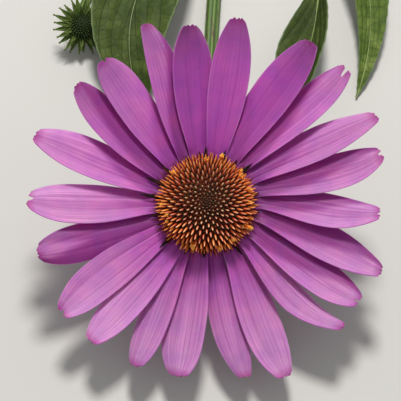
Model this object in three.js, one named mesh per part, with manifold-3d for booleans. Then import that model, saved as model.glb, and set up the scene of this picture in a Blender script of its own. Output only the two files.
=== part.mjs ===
// A cut flowering stem of purple coneflower, lying on a flat surface at z = 0. Millimetres, +Z up.
// The stem runs along +Y, its neck bends up near -Y, and the bloom faces up and a little towards -Y.
import * as THREE from 'three';
import { ConvexHull } from 'three/addons/math/ConvexHull.js';
import { mergeVertices } from 'three/addons/utils/BufferGeometryUtils.js';
import Module from 'manifold-3d';

const wasm = await Module();
wasm.setup();

const degree = Math.PI / 180;
const goldenAngle = Math.PI * (3 - Math.sqrt(5));
const seatGap = 0.3;
const bladeThickness = 0.65;

// The bloom: its ray plane's centre over the surface, and the lean of its face from straight up.
const headCentre = new THREE.Vector3(-12, -110, 29.5);
const headLean = 26 * degree;

// Ray florets, one to a line. base, tip and bow are angles in degrees, anticlockwise from +X as the
// bloom is faced, and reach, width and notch are lengths. lap is 1 where the ray lies over the next
// one clockwise, and -1 where under it. skew leans the tip anticlockwise by a share of the half
// width, and blunt keeps the tip full.
const rayBaseRadius = 16.5;
const rayRootRadius = 13;
const rayRise = 6;
const rayLift = 1.0;
const rayFold = 0.45;
const rayClawWidth = 0.46;
const rayTipWidth = 0.3;
const rayWidest = 0.55;
const rayShoulder = 1.4;
const rayRows = 9;
const rayColumns = 5;
const rays = [
  [112.5, 106.8, 58.8, -1.4, 10.0, 0.5, -1, 0.45, 2.4],
  [97.3, 95.4, 55.3, -0.1, 12.7, 0.6, -1, 0, 4.0],
  [78.7, 80.6, 58.5, 0.0, 12.4, 1.0, 1, 0, 3.2],
  [63.4, 58.0, 60.0, -1.4, 12.7, 0.3, 1, -0.1, 2.6],
  [49.4, 44.3, 61.2, -1.9, 10.5, 3.4, 1, 0, 3.0],
  [32.8, 28.3, 59.4, -1.5, 10.5, 0.6, 1, -0.15, 2.2],
  [18.8, 15.7, 56.8, -2.7, 11.2, 1.6, 1, 0.1, 3.0],
  [5.6, -3.2, 53.5, -3.3, 10.8, 1.2, 1, 0.05, 2.2],
  [-7.7, -18.7, 57.5, -3.7, 11.8, 0.3, 1, -0.4, 2.4],
  [-27.0, -32.6, 55.5, -1.9, 11.5, 1.8, 1, 0, 3.0],
  [-42.4, -44.3, 56.1, -3.9, 8.8, 0.3, 1, 0.5, 2.2],
  [-59.7, -65.6, 58.0, -2.4, 12.2, 0.8, 1, 0, 2.8],
  [-78.7, -77.4, 54.3, -1.9, 9.9, 0.9, -1, 0, 2.8],
  [-100.0, -99.2, 53.2, -0.4, 12.4, 0.5, -1, -0.05, 3.6],
  [-117.0, -113.4, 53.9, 0.7, 9.0, 0.3, -1, -0.1, 3.4],
  [-127.1, -130.0, 54.8, -0.5, 10.8, 0.8, -1, 0, 2.8],
  [-146.3, -143.4, 55.4, -0.3, 12.2, 1.6, 1, 0.1, 3.0],
  [-161.6, -163.2, 53.6, -0.2, 11.5, 0.4, -1, 0, 3.4],
  [178.9, 179.2, 54.8, 1.1, 12.2, 2.2, -1, 0, 3.0],
  [159.2, 158.7, 56.5, -0.6, 11.8, 0.6, -1, 0, 2.4],
  [144.3, 139.3, 54.0, -1.4, 10.8, 0.4, -1, -0.25, 3.0],
  [127.1, 126.0, 54.6, -0.5, 11.8, 1.1, -1, 0, 3.8],
].map(([base, tip, reach, bow, width, notch, lap, skew, blunt]) => (
  { base, tip, reach, bow, width, notch, lap, skew, blunt }
));

// The collar joins the rays' claws under the cone.
const collar = { inner: 12.4, outer: 14.6, top: -0.35, bottom: -2.6 };

// The cone: a dome of spined disc florets on a short round seat.
const cone = {
  radius: 13.1,
  height: 10.2,
  florets: 340,
  crowding: 0.86,
  edgeAngle: 86 * degree,
  peak: 1.7,
  rimPeak: 2.8,
  valley: 0.8,
  lift: 1.2,
  underRadius: 11.6,
};
const coneSeat = { radius: 11.9, top: 1.6, bottom: -2.9 };

// The green involucre: a shallow cup with pointed bracts in three rows.
const cup = {
  profile: [[2.9, -9.4], [4.9, -7.8], [10.8, -6], [14, -4.2], [14, -3.2]],
  bottom: -9.4,
  top: -3.2,
};
const bractRows = [
  { count: 17, radius: 12.4, height: -4.2, length: 9.5, width: 3.4, pitch: -4 * degree, turn: 0 },
  { count: 17, radius: 11.6, height: -5.1, length: 8.8, width: 3.4, pitch: -12 * degree, turn: 0.5 },
  { count: 9, radius: 9.4, height: -6.3, length: 8.5, width: 2.8, pitch: -32 * degree, turn: 0.25 },
];

// The stem: the neck bends from the head down to the surface, and the rest lies along it.
const stemRadius = { neck: 2.35, cut: 3.1 };
const neckPull = 14;
const neckArrival = new THREE.Vector3(-2, -26, 0);
const stemRun = new THREE.CubicBezierCurve3(
  new THREE.Vector3(-8.5, -52, 2.55),
  new THREE.Vector3(-4, 8, 2.7),
  new THREE.Vector3(3, 92, 2.95),
  new THREE.Vector3(12, 160, 3.15),
);
const runShare = 0.75;

// The side branch with the young head.
const branchRadius = { root: 1.9, tip: 1.35 };
const branchPath = [
  stemRun.getPoint(0.57).add(new THREE.Vector3(0, 0, 0.8)),
  new THREE.Vector3(-30, 56, 13),
  new THREE.Vector3(-60.5, -9.5, -5.5),
  new THREE.Vector3(-54.8, -20.5, 7),
];
const youngHead = {
  radius: 4.6,
  height: 4,
  florets: 60,
  crowding: 0.6,
  edgeAngle: 84 * degree,
  peak: 1.1,
  rimPeak: 1.4,
  valley: 0.5,
  lift: 0,
  underRadius: 3.9,
};
const youngBase = [[0, -3.6], [1.6, -3.6], [3.9, -1.7], [3.9, 0.7], [0, 0.7]];
const youngBracts = [
  { count: 12, radius: 3.4, height: -0.9, length: 7.2, width: 2.1, pitch: 6 * degree, turn: 0 },
  { count: 12, radius: 3.2, height: -1.9, length: 7, width: 2.1, pitch: -10 * degree, turn: 0.5 },
];

// Leaves: where the stalk leaves the stem's run and on which side, the midrib's other three control
// points, the blade's width and where it is widest, the share of the length that is stalk, and the
// blade's bank about the midrib and fold along it.
const leafRows = 21;
const leafColumns = 7;
const leaves = [
  {
    name: 'leaf_1',
    at: 0.43,
    side: -1,
    midrib: [[-22, 12, 22], [-49, -24, 22], [-30, -56, 0.8]],
    width: 31, widest: 0.5, stalk: 0.1, bank: 0, fold: 10 * degree, wave: 0.6,
  },
  {
    name: 'leaf_2',
    at: 0.505,
    side: 1,
    midrib: [[46.5, 36, 16], [39.3, -8, 13], [19, -65, 0.9]],
    width: 24, widest: 0.56, stalk: 0.46, bank: 30 * degree, fold: 40 * degree, wave: 0.5,
  },
  {
    name: 'leaf_3',
    at: 0.685,
    side: 1,
    midrib: [[30, 64, 18], [70, 14, 15], [46, -47, 0.8]],
    width: 19, widest: 0.45, stalk: 0.1, bank: -12 * degree, fold: 16 * degree, wave: 0.25,
  },
  {
    name: 'leaf_4',
    at: 0.615,
    side: -1,
    midrib: [[-32, 66, 14], [-70, 40, 9], [-105, 6, 0.75]],
    width: 40, widest: 0.42, stalk: 0.13, bank: 4 * degree, fold: 8 * degree, wave: 1.2,
  },
  {
    name: 'leaf_5',
    at: 0.795,
    side: 1,
    midrib: [[40, 104, 15], [78, 74, 10], [103, 28, 0.75]],
    width: 42, widest: 0.42, stalk: 0.13, bank: -4 * degree, fold: 8 * degree, wave: 1.2,
  },
];
const leafThickness = 0.7;
const leafStalkHalfWidth = 1.2;
const leafStalkThickness = 2;
const leafFootRise = 0.9;
const leafRib = 0.9;
const leafTooth = 0.6;
const leafQuilt = 0.4;
const leafVeinPairs = 5;
const leafVeinLean = 0.14;
const leafWaves = 1.7;
const leafWaveShift = 2.1;
const leafTipHalfWidth = 0.4;
const leafRoundness = 0.9;
const stalkFade = 0.12;
const toothedStretch = { from: 0.06, to: 0.96 };

const finishes = {
  ray: { color: '#b860ac', roughness: 0.75, metalness: 0 },
  cone: { color: '#a84a1c', roughness: 0.7, metalness: 0 },
  bract: { color: '#4e6b2c', roughness: 0.8, metalness: 0 },
  stem: { color: '#5b7434', roughness: 0.75, metalness: 0 },
  leaf: { color: '#40592b', roughness: 0.65, metalness: 0 },
  bud: { color: '#75893c', roughness: 0.8, metalness: 0 },
};

function clamp01(value) {
  return Math.min(1, Math.max(0, value));
}

function smooth(value) {
  const t = clamp01(value);
  return t * t * (3 - 2 * t);
}

function geometryFrom(vertices, triangles) {
  const geometry = new THREE.BufferGeometry();
  geometry.setAttribute('position', new THREE.Float32BufferAttribute(vertices, 3));
  geometry.setIndex(triangles);
  return geometry;
}

// A closed thin blade. place(i, j) gives the upper face's points, row by row, and the lower face
// lies thickness(i, j) under them.
function bladeGeometry(rows, columns, place, thickness) {
  const upper = [];
  for (let i = 0; i < rows; i += 1) {
    for (let j = 0; j < columns; j += 1) {
      upper.push(place(i, j));
    }
  }
  const at = (i, j) => upper[i * columns + j];
  const lower = upper.map((point, index) => {
    const i = Math.floor(index / columns);
    const j = index % columns;
    const along = at(Math.min(i + 1, rows - 1), j).clone().sub(at(Math.max(i - 1, 0), j));
    const across = at(i, Math.min(j + 1, columns - 1)).clone().sub(at(i, Math.max(j - 1, 0)));
    const normal = along.cross(across).normalize();
    return point.clone().addScaledVector(normal, -thickness(i, j));
  });
  const vertices = [...upper, ...lower].flatMap((point) => point.toArray());
  const under = upper.length;
  const triangles = [];
  for (let i = 0; i < rows - 1; i += 1) {
    for (let j = 0; j < columns - 1; j += 1) {
      const a = i * columns + j;
      const b = a + columns;
      const halves = j < (columns - 1) / 2
        ? [[a, b, b + 1], [a, b + 1, a + 1]]
        : [[a, b, a + 1], [b, b + 1, a + 1]];
      for (const [p, q, r] of halves) {
        triangles.push(p, q, r, under + p, under + r, under + q);
      }
    }
  }
  const rim = [];
  for (let i = 0; i < rows - 1; i += 1) {
    rim.push(i * columns);
  }
  for (let j = 0; j < columns - 1; j += 1) {
    rim.push((rows - 1) * columns + j);
  }
  for (let i = rows - 1; i > 0; i -= 1) {
    rim.push(i * columns + columns - 1);
  }
  for (let j = columns - 1; j > 0; j -= 1) {
    rim.push(j);
  }
  rim.forEach((a, k) => {
    const b = rim[(k + 1) % rim.length];
    triangles.push(under + a, under + b, b, under + a, b, a);
  });
  return geometryFrom(vertices, triangles);
}

// A closed round rod along a curve, with a flat disc at each end.
function rodGeometry(curve, steps, sides, radiusAt) {
  const frames = curve.computeFrenetFrames(steps, false);
  const vertices = [];
  for (let i = 0; i <= steps; i += 1) {
    const centre = curve.getPointAt(i / steps);
    for (let k = 0; k < sides; k += 1) {
      const angle = (k / sides) * 2 * Math.PI;
      const point = centre.clone();
      point.addScaledVector(frames.normals[i], Math.cos(angle) * radiusAt(i / steps));
      point.addScaledVector(frames.binormals[i], Math.sin(angle) * radiusAt(i / steps));
      vertices.push(...point.toArray());
    }
  }
  const first = (steps + 1) * sides;
  vertices.push(...curve.getPointAt(0).toArray(), ...curve.getPointAt(1).toArray());
  const triangles = [];
  for (let k = 0; k < sides; k += 1) {
    const next = (k + 1) % sides;
    for (let i = 0; i < steps; i += 1) {
      const a = i * sides;
      const b = a + sides;
      triangles.push(a + k, a + next, b + next, a + k, b + next, b + k);
    }
    triangles.push(first, next, k, first + 1, steps * sides + k, steps * sides + next);
  }
  return geometryFrom(vertices, triangles);
}

// A shape turned about +Z from its outline, given as pairs of radius and height.
function turnedGeometry(outline, sides) {
  const points = outline.map(([radius, height]) => new THREE.Vector2(radius, height));
  return new THREE.LatheGeometry(points, sides).rotateX(Math.PI / 2);
}

function toSolid(geometry) {
  const bare = geometry.clone();
  bare.deleteAttribute('normal');
  bare.deleteAttribute('uv');
  const merged = mergeVertices(bare, 1e-4);
  const vertProperties = new Float32Array(merged.attributes.position.array);
  const triVerts = new Uint32Array(merged.index.array);
  return new wasm.Manifold(new wasm.Mesh({ numProp: 3, vertProperties, triVerts }));
}

function fuse(geometries) {
  const solid = geometries.map(toSolid).reduce((sum, next) => sum.add(next));
  const mesh = solid.getMesh();
  return geometryFrom(Array.from(mesh.vertProperties), Array.from(mesh.triVerts));
}

// How far a place on a ray lies from its widest part towards its tip.
function rayEnding(share) {
  return clamp01((share - rayWidest) / (1 - rayWidest));
}

// A ray's outline as a share of its half width: a narrow claw, widest past the middle, domed tip.
function rayOutline(share, blunt) {
  if (share < rayWidest) {
    const swell = Math.sin((Math.PI / 2) * (share / rayWidest)) ** 1.1;
    return rayClawWidth + (1 - rayClawWidth) * swell;
  }
  return 1 - (1 - rayTipWidth) * rayEnding(share) ** blunt;
}

// One ray floret from under the cone to its lobed tip. lifts raise its clockwise and anticlockwise
// edges, so that neighbours lap like shingles.
function rayGeometry(ray, lifts) {
  const shares = [0, 0.1, 0.22, 0.38, 0.54, 0.7, 0.84, 0.94, 1];
  const place = (i, j) => {
    const share = shares[i];
    const c = (2 * j) / (rayColumns - 1) - 1;
    const ends = [rayShoulder, 0, ray.notch, 0, rayShoulder];
    const reach = ray.reach - ends[j];
    const radius = rayRootRadius + share * (reach - rayRootRadius);
    const k = clamp01((radius - rayBaseRadius) / (ray.reach - rayBaseRadius));
    const angle = (ray.base + (ray.tip - ray.base) * k + ray.bow * 4 * k * (1 - k)) * degree;
    const taper = Math.min(1, radius / rayBaseRadius);
    const lean = ray.skew * rayEnding(k) ** 2;
    const offset = (c * rayOutline(k, ray.blunt) * taper + lean) * (ray.width / 2);
    const ridge = Math.abs(c) === 0.5 ? rayFold : -rayFold * Math.abs(c);
    const lift = (c > 0 ? lifts.ccw : lifts.cw) * c * c * smooth((k + 0.06) / 0.14);
    const z = rayRise * k * k + ridge * (1 - 0.5 * k) + lift;
    return new THREE.Vector3(
      Math.cos(angle) * radius - Math.sin(angle) * offset,
      Math.sin(angle) * radius + Math.cos(angle) * offset,
      z,
    );
  };
  return bladeGeometry(rayRows, rayColumns, place, () => bladeThickness);
}

function rayFloretsGeometry() {
  const ring = turnedGeometry([
    [collar.inner, collar.bottom],
    [collar.outer, collar.bottom],
    [collar.outer, collar.top],
    [collar.inner, collar.top],
    [collar.inner, collar.bottom],
  ], 44);
  const blades = rays.map((ray, index) => {
    const before = rays[(index + rays.length - 1) % rays.length];
    return rayGeometry(ray, { cw: ray.lap * rayLift, ccw: -before.lap * rayLift });
  });
  return fuse([ring, ...blades]);
}

// A dome of florets on a spiral: each floret is a peak, and each hollow between three is a valley.
function floretDome(dome) {
  const normalAt = (x, y, z) => new THREE.Vector3(
    x / dome.radius ** 2,
    y / dome.radius ** 2,
    z / dome.height ** 2,
  ).normalize();
  const florets = [];
  for (let n = 0; n < dome.florets; n += 1) {
    const ratio = ((n + 0.5) / dome.florets) ** dome.crowding;
    const polar = ratio * dome.edgeAngle;
    const turn = n * goldenAngle;
    const r = dome.radius * Math.sin(polar);
    const point = new THREE.Vector3(r * Math.cos(turn), r * Math.sin(turn), dome.height * Math.cos(polar));
    point.ratio = ratio;
    florets.push(point);
  }
  const underSides = 18;
  const under = [];
  for (let k = 0; k < underSides; k += 1) {
    const turn = (k / underSides) * 2 * Math.PI;
    under.push(new THREE.Vector3(dome.underRadius * Math.cos(turn), dome.underRadius * Math.sin(turn), 0));
  }
  const points = [...florets, ...under];
  const hull = new ConvexHull().setFromPoints(points);
  const vertices = points.map((point) => {
    if (point.ratio === undefined) return point;
    const peak = dome.peak + (dome.rimPeak - dome.peak) * point.ratio ** 2;
    return point.clone().addScaledVector(normalAt(point.x, point.y, point.z), peak);
  });
  const triangles = [];
  for (const face of hull.faces) {
    const corners = [face.edge.prev, face.edge, face.edge.next].map((edge) => edge.head().point);
    const [a, b, c] = corners.map((corner) => points.indexOf(corner));
    if (corners.every((corner) => corner.ratio !== undefined)) {
      const middle = corners[0].clone().add(corners[1]).add(corners[2]).divideScalar(3);
      middle.addScaledVector(normalAt(middle.x, middle.y, middle.z), -dome.valley);
      const m = vertices.push(middle) - 1;
      triangles.push(a, b, m, b, c, m, c, a, m);
    } else {
      triangles.push(a, b, c);
    }
  }
  const geometry = geometryFrom(vertices.flatMap((point) => point.toArray()), triangles);
  return geometry.translate(0, 0, dome.lift);
}

function coneGeometry() {
  const seat = new THREE.CylinderGeometry(
    coneSeat.radius,
    coneSeat.radius,
    coneSeat.top - coneSeat.bottom,
    32,
  );
  seat.rotateX(Math.PI / 2);
  seat.translate(0, 0, (coneSeat.top + coneSeat.bottom) / 2);
  return fuse([seat, floretDome(cone)]);
}

// A pointed bract along +X from the origin, arched along its length.
function bractGeometry(length, width) {
  const rows = 4;
  const halves = [0.8, 1, 0.7, 0.15];
  const arch = 0.06;
  const keel = 0.1;
  const place = (i, j) => {
    const share = i / (rows - 1);
    const c = j - 1;
    return new THREE.Vector3(
      length * share,
      c * (width / 2) * halves[i],
      length * arch * 4 * share * (1 - share) + keel * width * Math.abs(c),
    );
  };
  return bladeGeometry(rows, 3, place, () => bladeThickness);
}

function bractRing({ count, radius, height, length, width, pitch, turn }) {
  const ring = [];
  for (let k = 0; k < count; k += 1) {
    const bract = bractGeometry(length * (1 + 0.1 * Math.cos(2.4 * k)), width);
    bract.rotateY(-pitch);
    bract.translate(radius, 0, height);
    bract.rotateZ(((k + turn) / count) * 2 * Math.PI);
    ring.push(bract);
  }
  return ring;
}

function involucreGeometry() {
  const bowl = turnedGeometry([[0, cup.bottom], ...cup.profile, [0, cup.top]], 26);
  return fuse([bowl, ...bractRows.flatMap(bractRing)]);
}

function budGeometry() {
  const base = turnedGeometry(youngBase, 14);
  return fuse([floretDome(youngHead), base, ...youngBracts.flatMap(bractRing)]);
}

function headToWorld(point) {
  return point.applyAxisAngle(new THREE.Vector3(1, 0, 0), headLean).add(headCentre);
}

function stemRadiusAt(share) {
  return stemRadius.neck + (stemRadius.cut - stemRadius.neck) * share;
}

function stemGeometry() {
  const top = headToWorld(new THREE.Vector3(0, 0, cup.bottom - seatGap));
  const down = headToWorld(new THREE.Vector3(0, 0, cup.bottom - seatGap - neckPull));
  const path = new THREE.CurvePath();
  path.add(new THREE.CubicBezierCurve3(top, down, stemRun.v0.clone().add(neckArrival), stemRun.v0));
  path.add(stemRun);
  const main = rodGeometry(path, 44, 9, stemRadiusAt);
  const side = rodGeometry(new THREE.CubicBezierCurve3(...branchPath), 20, 7, (t) => (
    branchRadius.root + (branchRadius.tip - branchRadius.root) * t
  ));
  return fuse([main, side]);
}

// One leaf: a stalk that widens into a folded, quilted blade with toothed edges.
function leafGeometry(leaf) {
  const controls = leaf.midrib.map((point) => new THREE.Vector3(...point));
  const foot = stemRun.getPoint(leaf.at);
  const slant = Math.abs(controls[0].clone().sub(foot).normalize().y);
  const stemWall = stemRadiusAt(1 - runShare * (1 - leaf.at));
  foot.x += leaf.side * (stemWall + seatGap + leafStalkHalfWidth * slant);
  foot.z += leafFootRise;
  const curve = new THREE.CubicBezierCurve3(foot, ...controls);
  const up = new THREE.Vector3(0, 0, 1);
  const skew = Math.log(0.5) / Math.log(leaf.widest);
  const bladeShare = (i) => clamp01((i / (leafRows - 1) - leaf.stalk) / (1 - leaf.stalk));
  const place = (i, j) => {
    const b = bladeShare(i);
    const c = (2 * j) / (leafColumns - 1) - 1;
    const side = Math.abs(c);
    const along = curve.getTangentAt(i / (leafRows - 1));
    const across = up.clone().cross(along).normalize().applyAxisAngle(along, leaf.bank);
    const normal = along.clone().cross(across);
    const fullness = Math.sin(Math.PI * b ** skew) ** leafRoundness;
    const stalkHalf = leafStalkHalfWidth * (1 - b);
    const half = Math.max(stalkHalf, (leaf.width / 2) * fullness, leafTipHalfWidth);
    const vein = Math.cos(2 * Math.PI * leafVeinPairs * (b - leafVeinLean * side));
    const wave = Math.sin(2 * Math.PI * leafWaves * b + (c > 0 ? 0 : leafWaveShift));
    const rise = half * side * Math.sin(leaf.fold)
      - leafQuilt * vein * 4 * side * (1 - side) * fullness
      + leaf.wave * wave * side * side * fullness;
    const point = curve.getPointAt(i / (leafRows - 1));
    point.addScaledVector(across, c * half * Math.cos(leaf.fold));
    point.addScaledVector(normal, rise);
    if (side === 1 && i % 2 === 1 && b > toothedStretch.from && b < toothedStretch.to) {
      point.addScaledVector(across, c * leafTooth);
      point.addScaledVector(along, leafTooth);
    }
    return point;
  };
  const thickness = (i, j) => {
    const b = bladeShare(i);
    const stalk = (leafStalkThickness - leafThickness) * (1 - smooth(b / stalkFade));
    const rib = j === (leafColumns - 1) / 2 ? leafRib * (1 - b) : 0;
    return leafThickness + Math.max(stalk, rib);
  };
  return bladeGeometry(leafRows, leafColumns, place, thickness);
}

function part(name, geometry, finish) {
  const mesh = new THREE.Mesh(geometry, new THREE.MeshStandardMaterial({ flatShading: true, ...finish }));
  mesh.name = name;
  return mesh;
}

const head = new THREE.Group();
head.position.copy(headCentre);
head.rotation.x = headLean;
head.add(part('cone', coneGeometry(), finishes.cone));
head.add(part('ray_florets', rayFloretsGeometry(), finishes.ray));
head.add(part('involucre', involucreGeometry(), finishes.bract));

const bud = part('bud', budGeometry(), finishes.bud);
const budAxis = branchPath[3].clone().sub(branchPath[2]).normalize();
const budSeat = seatGap - youngBase[0][1];
bud.position.copy(branchPath[3]).addScaledVector(budAxis, budSeat);
bud.quaternion.setFromUnitVectors(new THREE.Vector3(0, 0, 1), budAxis);

const plant = new THREE.Group();
plant.add(head);
plant.add(part('stem', stemGeometry(), finishes.stem));
plant.add(bud);
for (const leaf of leaves) {
  plant.add(part(leaf.name, leafGeometry(leaf), finishes.leaf));
}

export default plant;
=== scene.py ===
import random
from functools import partial
from math import atan2, ceil, copysign, cos, exp, log, pi, sin, sqrt, tan

import bpy
from mathutils import Matrix, Vector


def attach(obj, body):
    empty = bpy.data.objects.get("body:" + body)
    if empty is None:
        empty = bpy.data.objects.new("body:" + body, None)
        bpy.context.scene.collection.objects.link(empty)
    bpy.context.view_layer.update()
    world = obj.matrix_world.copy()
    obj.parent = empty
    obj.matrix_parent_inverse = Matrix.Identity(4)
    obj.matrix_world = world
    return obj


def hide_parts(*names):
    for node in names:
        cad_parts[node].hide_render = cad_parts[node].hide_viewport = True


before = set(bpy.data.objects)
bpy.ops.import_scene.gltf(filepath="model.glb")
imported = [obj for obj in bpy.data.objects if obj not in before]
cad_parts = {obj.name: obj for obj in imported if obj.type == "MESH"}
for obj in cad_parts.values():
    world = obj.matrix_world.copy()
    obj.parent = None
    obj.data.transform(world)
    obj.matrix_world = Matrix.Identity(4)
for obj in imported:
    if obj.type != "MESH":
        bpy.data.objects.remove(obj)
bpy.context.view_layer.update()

mm = 0.001
degree = pi / 180
fullTurn = 2 * pi
goldenAngle = pi * (3 - sqrt(5))
smoothingAngle = 75 * degree
upward = Vector((0, 0, 1))


# Small sums that the shapes share. Lengths are in millimetres until a mesh is placed.
def clamp(value):
    return min(1.0, max(0.0, value))


def smooth(value):
    t = clamp(value)
    return t * t * (3 - 2 * t)


def bell(value, width):
    return exp(-((value / width) ** 2))


def mix(first, second, share):
    return first + (second - first) * share


def outward(angle):
    return Vector((cos(angle), sin(angle), 0))


def scattered(draw, *ranges):
    return Vector([draw.uniform(*ends) for ends in ranges])


def tabled(fields, rows):
    return [dict(zip(fields, row)) for row in rows]


def bezierPoint(controls, t):
    a, b, c, d = controls
    u = 1 - t
    return a * u**3 + b * 3 * u * u * t + c * 3 * u * t * t + d * t**3


def evenPoints(curves, count):
    # Points at even steps along one or more curves that follow each other
    fine = 400
    path = [bezierPoint(curve, i / fine) for curve in curves for i in range(fine + 1)]
    run = [0.0]
    for before, after in zip(path, path[1:]):
        run.append(run[-1] + (after - before).length)
    points, k = [], 0
    for i in range(count + 1):
        target = run[-1] * i / count
        while k < len(run) - 2 and run[k + 1] < target:
            k += 1
        span = run[k + 1] - run[k]
        share = (target - run[k]) / span if span > 0 else 0
        points.append(path[k].lerp(path[k + 1], clamp(share)))
    return points


# Blender steps, as done by hand.
def clearSelection():
    bpy.ops.object.select_all(action="DESELECT")


def activate(piece):
    clearSelection()
    piece.select_set(True)
    bpy.context.view_layer.objects.active = piece


def enter(mode):
    bpy.ops.object.mode_set(mode=mode)


def unpicked(kind):
    # Leaves nothing of the active mesh selected, so that its edges or faces can be picked in code
    enter("EDIT")
    bpy.ops.mesh.select_mode(type=kind)
    bpy.ops.mesh.select_all(action="DESELECT")
    enter("OBJECT")


def named(name):
    piece = bpy.context.active_object
    piece.name = name
    piece.data.name = name
    return piece


def gridSheet(name, columns, rows):
    clearSelection()
    bpy.ops.mesh.primitive_grid_add(x_subdivisions=columns, y_subdivisions=rows, size=2)
    return named(name)


def reshape(piece, place):
    for vertex in piece.data.vertices:
        vertex.co = place(vertex.co.copy()) * mm


def applied(piece, kind, **settings):
    activate(piece)
    modifier = piece.modifiers.new(kind.title(), kind)
    for key, value in settings.items():
        setattr(modifier, key, value)
    bpy.ops.object.modifier_apply(modifier=modifier.name)


def turned(name, sides, profile):
    # A round shape pulled up ring by ring from its foot, profile being (radius, height)
    clearSelection()
    bpy.ops.mesh.primitive_circle_add(vertices=sides, radius=profile[0][0] * mm, fill_type="NGON")
    piece = named(name)
    enter("EDIT")
    bpy.ops.transform.translate(value=(0, 0, profile[0][1] * mm))
    for before, after in zip(profile, profile[1:]):
        step = (0, 0, (after[1] - before[1]) * mm)
        grow = after[0] / before[0]
        bpy.ops.mesh.extrude_region_move(TRANSFORM_OT_translate={"value": step})
        bpy.ops.transform.resize(value=(grow, grow, 1), center_override=(0, 0, 0))
    bpy.ops.mesh.select_all(action="SELECT")
    bpy.ops.mesh.normals_make_consistent(inside=False)
    enter("OBJECT")
    return piece


def painted(piece, **values):
    # Writes numbers, one for the whole piece or one for each vertex, where the material reads them
    for name, value in values.items():
        layer = piece.data.attributes.get(name) or piece.data.attributes.new(name, "FLOAT", "POINT")
        each = value if isinstance(value, list) else [value] * len(piece.data.vertices)
        layer.data.foreach_set("value", each)
    return piece


def risen(piece, height):
    return painted(piece, rise=[clamp(vertex.co.z / (height * mm)) for vertex in piece.data.vertices])


def placed(name, data, matrix=Matrix()):
    body = bpy.data.objects.new(name, data)
    body.matrix_world = matrix
    bpy.context.scene.collection.objects.link(body)
    return body


def copied(template, matrix, **values):
    copy = placed(template.name, template.data.copy())
    copy.data.transform(matrix)
    return painted(copy, **values)


def discard(*pieces):
    for piece in pieces:
        bpy.data.objects.remove(piece)


def joined(name, parts):
    clearSelection()
    for part in parts:
        part.select_set(True)
    bpy.context.view_layer.objects.active = parts[0]
    bpy.ops.object.join()
    return named(name)


def dressed(piece, material):
    piece.data.materials.clear()
    piece.data.materials.append(material)
    return piece


def settled(piece, slotName, *nodes):
    activate(piece)
    bpy.ops.object.shade_smooth_by_angle(angle=smoothingAngle)
    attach(piece, "root")
    if nodes:
        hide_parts(*nodes)


def pointed(place, direction, size):
    # The matrix that stands a shape with its +Z along direction, at place, in millimetres
    z = direction.normalized()
    x = upward - z * z.z
    if x.length < 0.01:
        x = Vector((1, 0, 0)) - z * z.x
    x.normalize()
    turn = Matrix((x, z.cross(x), z)).transposed().to_4x4()
    return Matrix.Translation(place * mm) @ turn @ Matrix.Diagonal((*size, 1))


# Materials.
def hexColour(code):
    parts = [int(code[i : i + 2], 16) / 255 for i in (1, 3, 5)]
    linear = [c / 12.92 if c <= 0.04045 else ((c + 0.055) / 1.055) ** 2.4 for c in parts]
    return (*linear, 1)


def fill(tree, node, inputs):
    # Gives a node's inputs, in order or by name, other nodes' outputs, numbers or colour codes
    for key, value in inputs.items() if isinstance(inputs, dict) else enumerate(inputs):
        if isinstance(value, bpy.types.NodeSocket):
            tree.links.new(value, node.inputs[key])
        else:
            node.inputs[key].default_value = hexColour(value) if isinstance(value, str) else value


# The output that is read, and the settings, where they aren't a node's first ones
usual = {"Mix": (2, {"data_type": "RGBA"}), "Attribute": ("Fac", {}), "TexCoord": ("Object", {})}


def addNode(tree, kind, inputs=(), stops=None, **settings):
    # MapRange takes its value, the two ends it comes from and the two ends it goes to. Mix takes its
    # share at 0 and its colours at 6 and 7.
    node = tree.nodes.new("ShaderNode" + kind)
    output, habits = usual.get(kind, (0, {}))
    for key, value in {**habits, **settings}.items():
        setattr(node, key, value)
    fill(tree, node, inputs)
    if stops:
        while len(node.color_ramp.elements) < len(stops):
            node.color_ramp.elements.new(0.5)
        for element, (place, code) in zip(node.color_ramp.elements, stops.items()):
            element.position = place
            element.color = hexColour(code)
    return node.outputs[output]


def shaded(material, **inputs):
    tree = material.node_tree
    inputs = {key.replace("_", " "): value for key, value in inputs.items()}
    fill(tree, tree.nodes["Principled BSDF"], inputs)
    return material


def newMaterial(name, **inputs):
    # The material, and what adds a node to it
    material = bpy.data.materials.new(name)
    material.use_nodes = True
    return shaded(material, **inputs), partial(addNode, material.node_tree)


bloom = {
    "centre": Vector((-12, -110, 29.5)),
    "lean": 26 * degree,
}
headTurn = Matrix.Rotation(bloom["lean"], 4, "X")
headFrame = Matrix.Translation(bloom["centre"]) @ headTurn
headFrameMetres = Matrix.Translation(bloom["centre"] * mm) @ headTurn

print("frame loaded")

# Camera: it looks down on the bloom's face, a little from below and left of its axis.
camera = {
    "distance": 345,
    "nearest": 10,
    "lens": 100,
    "sensor": 36,
    "leftTurn": 3.5 * degree,
    "downTurn": 4.9 * degree,
    "shift": (-0.0137, 0.0112),
}


def placeCamera(values):
    bloomUp = headTurn @ Vector((0, 1, 0))
    back = headTurn @ upward - Vector((1, 0, 0)) * tan(values["leftTurn"])
    back = (back - bloomUp * tan(values["downTurn"])).normalized()
    right = bloomUp.cross(back).normalized()
    turn = Matrix((right, back.cross(right), back)).transposed().to_4x4()
    lens = bpy.data.cameras.new("bloomCamera")
    lens.lens = values["lens"]
    lens.sensor_width = values["sensor"]
    lens.clip_start = values["nearest"] * mm
    lens.shift_x, lens.shift_y = values["shift"]
    place = (bloom["centre"] + back * values["distance"]) * mm
    bpy.context.scene.camera = placed("bloomCamera", lens, Matrix.Translation(place) @ turn)


placeCamera(camera)

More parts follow.
